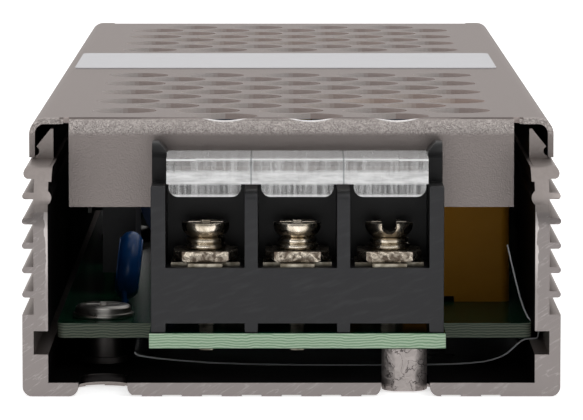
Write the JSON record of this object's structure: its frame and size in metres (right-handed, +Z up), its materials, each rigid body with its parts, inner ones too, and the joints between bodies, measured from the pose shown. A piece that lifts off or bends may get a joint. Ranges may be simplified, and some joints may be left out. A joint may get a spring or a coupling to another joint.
{
  "type": "switching power supply",
  "caption": "Slim switching power supply in a finned aluminium channel with a perforated folded cover, barrier terminals with clear flip lids at each end.",
  "frame": {"origin": "middle of the underside of the case", "axes": "+Y from the mains end to the output end, +Z up, +X to the right seen from the mains end"},
  "size_m": [0.055, 0.194, 0.0275],
  "materials": {
    "chassis": "extruded, bead-blasted and clear anodised",
    "raw_metal": "bare cut metal",
    "cover": "pressed sheet, anodised",
    "label": "plain film label",
    "film": "clear insulating film",
    "board": "solder-masked glass fibre laminate",
    "steel": "zinc plated",
    "nickel": "nickel plated",
    "black_plastic": "moulded, fine satin",
    "clear_plastic": "clear moulding",
    "fuse_body": "ceramic tube with plated caps",
    "blue_coating": "dipped epoxy",
    "dark_coating": "dipped epoxy",
    "yellow_case": "moulded plastic case",
    "ferrite": "sintered ferrite",
    "copper": "enamelled copper wire",
    "black_epoxy": "moulded epoxy",
    "sleeve": "shrink sleeve over an aluminium can",
    "tape": "polyester tape over windings",
    "white_plastic": "moulded plastic",
    "blue_plastic": "moulded plastic",
    "green_lens": "diffused lens"
  },
  "bodies": {
    "case": {"chassis": "chassis", "front_post": "raw_metal", "standoffs": "raw_metal", "insulating_film": "film", "circuit_board": "board", "board_screws": "steel", "top_cover": "cover", "cover_flanges": "cover", "label_panel": "label", "input_block": "black_plastic", "input_contacts": "nickel", "output_block": "black_plastic", "output_contacts": "nickel", "fuse": "fuse_body", "fuse_clips": "nickel", "inrush_limiter": "dark_coating", "suppression_capacitor": "yellow_case", "safety_capacitor": "blue_coating", "choke_core": "ferrite", "choke_windings": "copper", "bridge_rectifier": "black_epoxy", "bulk_capacitors": "sleeve", "power_transistors": "black_epoxy", "transistor_clips": "steel", "drive_board": "board", "transformer_core": "ferrite", "transformer_coil": "tape", "output_diodes": "black_epoxy", "diode_clips": "steel", "output_choke": "copper", "output_capacitors": "sleeve", "optocouplers": "white_plastic", "surface_parts": "black_epoxy", "voltage_trimmer": "blue_plastic", "power_lamp": "green_lens"},
    "input_lid": {"input_lid": "clear_plastic"},
    "output_lid": {"output_lid": "clear_plastic"},
    "trimmer_rotor": {"trimmer_rotor": "white_plastic"},
    "input_clamp_1": {"input_clamp_1": "nickel"},
    "input_screw_1": {"input_screw_1": "nickel"},
    "input_clamp_2": {"input_clamp_2": "nickel"},
    "input_screw_2": {"input_screw_2": "nickel"},
    "input_clamp_3": {"input_clamp_3": "nickel"},
    "input_screw_3": {"input_screw_3": "nickel"},
    "output_clamp_1": {"output_clamp_1": "nickel"},
    "output_screw_1": {"output_screw_1": "nickel"},
    "output_clamp_2": {"output_clamp_2": "nickel"},
    "output_screw_2": {"output_screw_2": "nickel"},
    "output_clamp_3": {"output_clamp_3": "nickel"},
    "output_screw_3": {"output_screw_3": "nickel"},
    "output_clamp_4": {"output_clamp_4": "nickel"},
    "output_screw_4": {"output_screw_4": "nickel"}
  },
  "joints": [
    {"name": "input_lid_hinge", "type": "hinge", "parent": "case", "child": "input_lid", "pos_m": [0.00061, -0.08515, 0.0233], "axis": [-1, 0, 0], "range_deg": [0, 100]},
    {"name": "output_lid_hinge", "type": "hinge", "parent": "case", "child": "output_lid", "pos_m": [0, 0.08515, 0.0233], "axis": [1, 0, 0], "range_deg": [0, 100]},
    {"name": "input_clamp_1_lift", "type": "slide", "parent": "case", "child": "input_clamp_1", "axis": [0, 0, 1], "range_m": [0, 0.002]},
    {"name": "input_screw_1_turn", "type": "hinge", "parent": "input_clamp_1", "child": "input_screw_1", "pos_m": [-0.00889, -0.0884, 0.0136], "axis": [0, 0, 1], "range_deg": [0, 1440]},
    {"name": "input_clamp_2_lift", "type": "slide", "parent": "case", "child": "input_clamp_2", "axis": [0, 0, 1], "range_m": [0, 0.002]},
    {"name": "input_screw_2_turn", "type": "hinge", "parent": "input_clamp_2", "child": "input_screw_2", "pos_m": [0.00061, -0.0884, 0.0136], "axis": [0, 0, 1], "range_deg": [0, 1440]},
    {"name": "input_clamp_3_lift", "type": "slide", "parent": "case", "child": "input_clamp_3", "axis": [0, 0, 1], "range_m": [0, 0.002]},
    {"name": "input_screw_3_turn", "type": "hinge", "parent": "input_clamp_3", "child": "input_screw_3", "pos_m": [0.01011, -0.0884, 0.0136], "axis": [0, 0, 1], "range_deg": [0, 1440]},
    {"name": "output_clamp_1_lift", "type": "slide", "parent": "case", "child": "output_clamp_1", "axis": [0, 0, 1], "range_m": [0, 0.002]},
    {"name": "output_screw_1_turn", "type": "hinge", "parent": "output_clamp_1", "child": "output_screw_1", "pos_m": [0.01425, 0.0884, 0.0136], "axis": [0, 0, 1], "range_deg": [0, 1440]},
    {"name": "output_clamp_2_lift", "type": "slide", "parent": "case", "child": "output_clamp_2", "axis": [0, 0, 1], "range_m": [0, 0.002]},
    {"name": "output_screw_2_turn", "type": "hinge", "parent": "output_clamp_2", "child": "output_screw_2", "pos_m": [0.00475, 0.0884, 0.0136], "axis": [0, 0, 1], "range_deg": [0, 1440]},
    {"name": "output_clamp_3_lift", "type": "slide", "parent": "case", "child": "output_clamp_3", "axis": [0, 0, 1], "range_m": [0, 0.002]},
    {"name": "output_screw_3_turn", "type": "hinge", "parent": "output_clamp_3", "child": "output_screw_3", "pos_m": [-0.00475, 0.0884, 0.0136], "axis": [0, 0, 1], "range_deg": [0, 1440]},
    {"name": "output_clamp_4_lift", "type": "slide", "parent": "case", "child": "output_clamp_4", "axis": [0, 0, 1], "range_m": [0, 0.002]},
    {"name": "output_screw_4_turn", "type": "hinge", "parent": "output_clamp_4", "child": "output_screw_4", "pos_m": [-0.01425, 0.0884, 0.0136], "axis": [0, 0, 1], "range_deg": [0, 1440]},
    {"name": "trimmer_turn", "type": "hinge", "parent": "case", "child": "trimmer_rotor", "pos_m": [0.02, 0.0785, 0.0082], "axis": [0, 0, 1], "range_deg": [-120, 120]}
  ]
}
